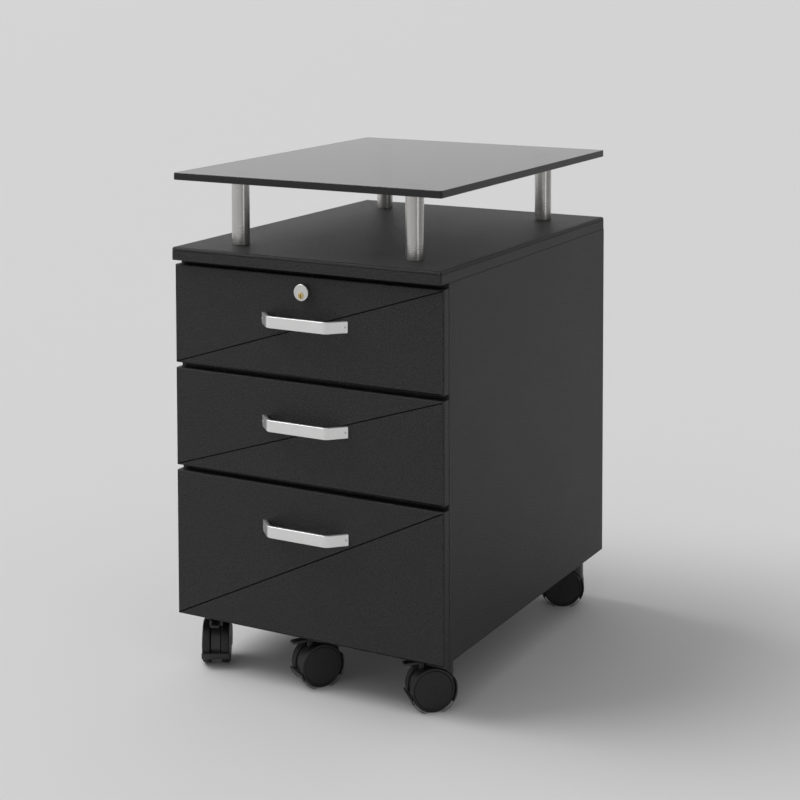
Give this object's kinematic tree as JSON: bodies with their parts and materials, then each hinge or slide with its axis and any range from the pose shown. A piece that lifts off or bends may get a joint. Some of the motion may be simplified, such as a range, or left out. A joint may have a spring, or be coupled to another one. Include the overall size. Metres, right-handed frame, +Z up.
{
  "type": "mobile pedestal cabinet",
  "caption": "Steel pedestal cabinet on swivel castors, with lockable top drawer, shallow drawers over a deep one, bow handles and a raised smoked-glass shelf on posts.",
  "frame": {"origin": "on the floor under the middle of the overall box, handles included", "axes": "+X to the right seen from the front, the drawers open towards -Y, +Z up"},
  "size_m": [0.42, 0.559, 0.698],
  "materials": {
    "charcoal_paint": "fine textured powder coat",
    "black_box_paint": "smooth powder coat",
    "smoked_glass": "polished, grey tint",
    "clear_pad": "clear bonding pad",
    "brushed_post_steel": "brushed",
    "satin_aluminium": "satin",
    "zinc_steel": "bright zinc",
    "nickel": "bright nickel",
    "brass": "satin",
    "black_plastic": "fine matt grain",
    "black_wheel_plastic": "matt nylon"
  },
  "bodies": {
    "cabinet": {"right_side_panel": "charcoal_paint", "left_side_panel": "charcoal_paint", "back_panel": "charcoal_paint", "bottom_panel": "charcoal_paint", "top_rail": "charcoal_paint", "upper_cross_rail": "charcoal_paint", "lower_cross_rail": "charcoal_paint", "top_cover": "charcoal_paint", "top_liner": "charcoal_paint", "glass_shelf": "smoked_glass", "post_front_left": "brushed_post_steel", "post_front_right": "brushed_post_steel", "post_rear_left": "brushed_post_steel", "post_rear_right": "brushed_post_steel", "post_pads": "clear_pad", "post_studs": "zinc_steel", "upper_cabinet_slides": "zinc_steel", "middle_cabinet_slides": "zinc_steel", "lower_cabinet_slides": "zinc_steel", "castor_plates": "zinc_steel", "castor_stems": "zinc_steel", "castor_screws": "zinc_steel", "castor_nuts": "zinc_steel"},
    "upper_drawer": {"upper_drawer_front": "charcoal_paint", "upper_drawer_box": "black_box_paint", "upper_handle": "satin_aluminium", "upper_handle_screws": "zinc_steel", "upper_drawer_slides": "zinc_steel", "lock_housing": "nickel", "lock_nut": "nickel"},
    "upper_slide_carriage": {"upper_middle_slides": "zinc_steel"},
    "middle_drawer": {"middle_drawer_front": "charcoal_paint", "middle_drawer_box": "black_box_paint", "middle_handle": "satin_aluminium", "middle_handle_screws": "zinc_steel", "middle_drawer_slides": "zinc_steel"},
    "middle_slide_carriage": {"middle_middle_slides": "zinc_steel"},
    "lower_drawer": {"lower_drawer_front": "charcoal_paint", "lower_drawer_box": "black_box_paint", "lower_handle": "satin_aluminium", "lower_handle_screws": "zinc_steel", "lower_drawer_slides": "zinc_steel"},
    "lower_slide_carriage": {"lower_middle_slides": "zinc_steel"},
    "lock_cylinder": {"lock_plug": "brass", "lock_cam": "zinc_steel", "lock_cam_screw": "zinc_steel"},
    "front_left_castor": {"front_left_castor_hood": "black_plastic"},
    "front_left_wheels": {"front_left_castor_wheels": "black_wheel_plastic"},
    "front_left_pedal": {"front_left_brake_pedal": "black_plastic"},
    "front_middle_castor": {"front_middle_castor_hood": "black_plastic"},
    "front_middle_wheels": {"front_middle_castor_wheels": "black_wheel_plastic"},
    "front_middle_pedal": {"front_middle_brake_pedal": "black_plastic"},
    "front_right_castor": {"front_right_castor_hood": "black_plastic"},
    "front_right_wheels": {"front_right_castor_wheels": "black_wheel_plastic"},
    "front_right_pedal": {"front_right_brake_pedal": "black_plastic"},
    "rear_left_castor": {"rear_left_castor_hood": "black_plastic"},
    "rear_left_wheels": {"rear_left_castor_wheels": "black_wheel_plastic"},
    "rear_right_castor": {"rear_right_castor_hood": "black_plastic"},
    "rear_right_wheels": {"rear_right_castor_wheels": "black_wheel_plastic"}
  },
  "joints": [
    {"name": "upper_drawer_slide", "type": "slide", "parent": "cabinet", "child": "upper_drawer", "axis": [0, -1, 0], "range_m": [0, 0.4]},
    {"name": "upper_carriage_slide", "type": "slide", "parent": "cabinet", "child": "upper_slide_carriage", "axis": [0, -1, 0], "range_m": [0, 0.2]},
    {"name": "middle_drawer_slide", "type": "slide", "parent": "cabinet", "child": "middle_drawer", "axis": [0, -1, 0], "range_m": [0, 0.4]},
    {"name": "middle_carriage_slide", "type": "slide", "parent": "cabinet", "child": "middle_slide_carriage", "axis": [0, -1, 0], "range_m": [0, 0.2]},
    {"name": "lower_drawer_slide", "type": "slide", "parent": "cabinet", "child": "lower_drawer", "axis": [0, -1, 0], "range_m": [0, 0.4]},
    {"name": "lower_carriage_slide", "type": "slide", "parent": "cabinet", "child": "lower_slide_carriage", "axis": [0, -1, 0], "range_m": [0, 0.2]},
    {"name": "lock_turn", "type": "hinge", "parent": "upper_drawer", "child": "lock_cylinder", "pos_m": [0, -0.2575, 0.5455], "axis": [0, -1, 0], "range_deg": [0, 90]},
    {"name": "front_left_swivel", "type": "hinge", "parent": "cabinet", "child": "front_left_castor", "pos_m": [-0.177, -0.2085, 0.06], "axis": [0, 0, 1], "continuous": true},
    {"name": "front_left_wheel_spin", "type": "hinge", "parent": "front_left_castor", "child": "front_left_wheels", "pos_m": [-0.17109, -0.21894, 0.03], "axis": [0.8704, 0.4924, 0], "continuous": true},
    {"name": "front_left_pedal_press", "type": "hinge", "parent": "front_left_castor", "child": "front_left_pedal", "pos_m": [-0.1642, -0.23113, 0.0635], "axis": [0.8704, 0.4924, 0], "range_deg": [0, 15]},
    {"name": "front_middle_swivel", "type": "hinge", "parent": "cabinet", "child": "front_middle_castor", "pos_m": [0, -0.208, 0.06], "axis": [0, 0, 1], "continuous": true},
    {"name": "front_middle_wheel_spin", "type": "hinge", "parent": "front_middle_castor", "child": "front_middle_wheels", "pos_m": [-0.00673, -0.21794, 0.03], "axis": [0.8281, -0.5606, 0], "continuous": true},
    {"name": "front_middle_pedal_press", "type": "hinge", "parent": "front_middle_castor", "child": "front_middle_pedal", "pos_m": [-0.01458, -0.22953, 0.0635], "axis": [0.8281, -0.5606, 0], "range_deg": [0, 15]},
    {"name": "front_right_swivel", "type": "hinge", "parent": "cabinet", "child": "front_right_castor", "pos_m": [0.177, -0.2085, 0.06], "axis": [0, 0, 1], "continuous": true},
    {"name": "front_right_wheel_spin", "type": "hinge", "parent": "front_right_castor", "child": "front_right_wheels", "pos_m": [0.16815, -0.21661, 0.03], "axis": [0.6756, -0.7373, 0], "continuous": true},
    {"name": "front_right_pedal_press", "type": "hinge", "parent": "front_right_castor", "child": "front_right_pedal", "pos_m": [0.15783, -0.22606, 0.0635], "axis": [0.6756, -0.7373, 0], "range_deg": [0, 15]},
    {"name": "rear_left_swivel", "type": "hinge", "parent": "cabinet", "child": "rear_left_castor", "pos_m": [-0.177, 0.231, 0.06], "axis": [0, 0, 1], "continuous": true},
    {"name": "rear_left_wheel_spin", "type": "hinge", "parent": "rear_left_castor", "child": "rear_left_wheels", "pos_m": [-0.17867, 0.21912, 0.03], "axis": [0.9903, -0.1392, 0], "continuous": true},
    {"name": "rear_right_swivel", "type": "hinge", "parent": "cabinet", "child": "rear_right_castor", "pos_m": [0.177, 0.231, 0.06], "axis": [0, 0, 1], "continuous": true},
    {"name": "rear_right_wheel_spin", "type": "hinge", "parent": "rear_right_castor", "child": "rear_right_wheels", "pos_m": [0.16599, 0.22623, 0.03], "axis": [0.3971, -0.9178, 0], "continuous": true}
  ],
  "couplings": [
    {"joint": "upper_carriage_slide", "follows": "upper_drawer_slide", "ratio": 0.5},
    {"joint": "middle_carriage_slide", "follows": "middle_drawer_slide", "ratio": 0.5},
    {"joint": "lower_carriage_slide", "follows": "lower_drawer_slide", "ratio": 0.5}
  ]
}
